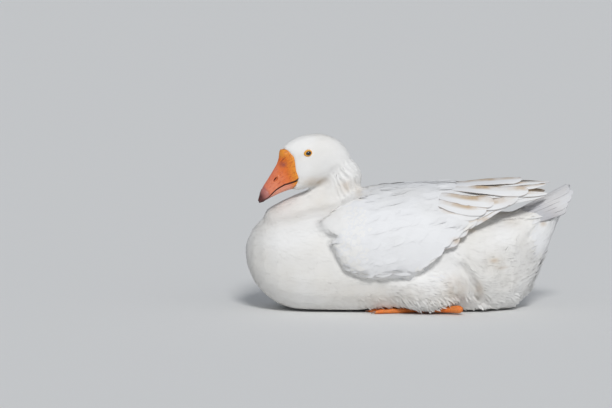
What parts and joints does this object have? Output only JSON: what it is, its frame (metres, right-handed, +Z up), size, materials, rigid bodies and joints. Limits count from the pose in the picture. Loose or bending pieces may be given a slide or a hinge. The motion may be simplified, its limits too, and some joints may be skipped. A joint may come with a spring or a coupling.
{
  "type": "domestic goose",
  "caption": "White domestic goose with an orange bill, lying on its belly with its neck drawn back and its wings folded.",
  "frame": {"origin": "middle of the flat under the belly, on the floor", "axes": "-Y towards the breast, +X to the goose's left, +Z up"},
  "size_m": [0.2408, 0.5288, 0.2836],
  "materials": {
    "plumage": "soft white body feathers, matt",
    "flight_feathers": "stiff white wing and tail feathers, slightly glossy",
    "bill_horn": "horn, orange at the base and pink towards the tip, satin",
    "bill_nail": "pinkish horn, satin",
    "eye": "dark wet eye in a yellow-orange ring, gloss",
    "foot_skin": "orange scaly skin, matt"
  },
  "bodies": {
    "root": {"head": "plumage", "neck_upper": "plumage", "neck_lower": "plumage", "trunk": "plumage", "rump": "plumage", "tail": "flight_feathers", "wing_left_coverts": "plumage", "wing_right_coverts": "plumage", "wing_left_flight": "flight_feathers", "wing_right_flight": "flight_feathers", "thigh_left": "plumage", "thigh_right": "plumage", "bill_upper": "bill_horn", "bill_lower": "bill_horn", "bill_nail": "bill_nail", "eye_left": "eye", "eye_right": "eye", "shank_left": "foot_skin", "shank_right": "foot_skin", "foot_left": "foot_skin", "foot_right": "foot_skin"}
  },
  "joints": []
}
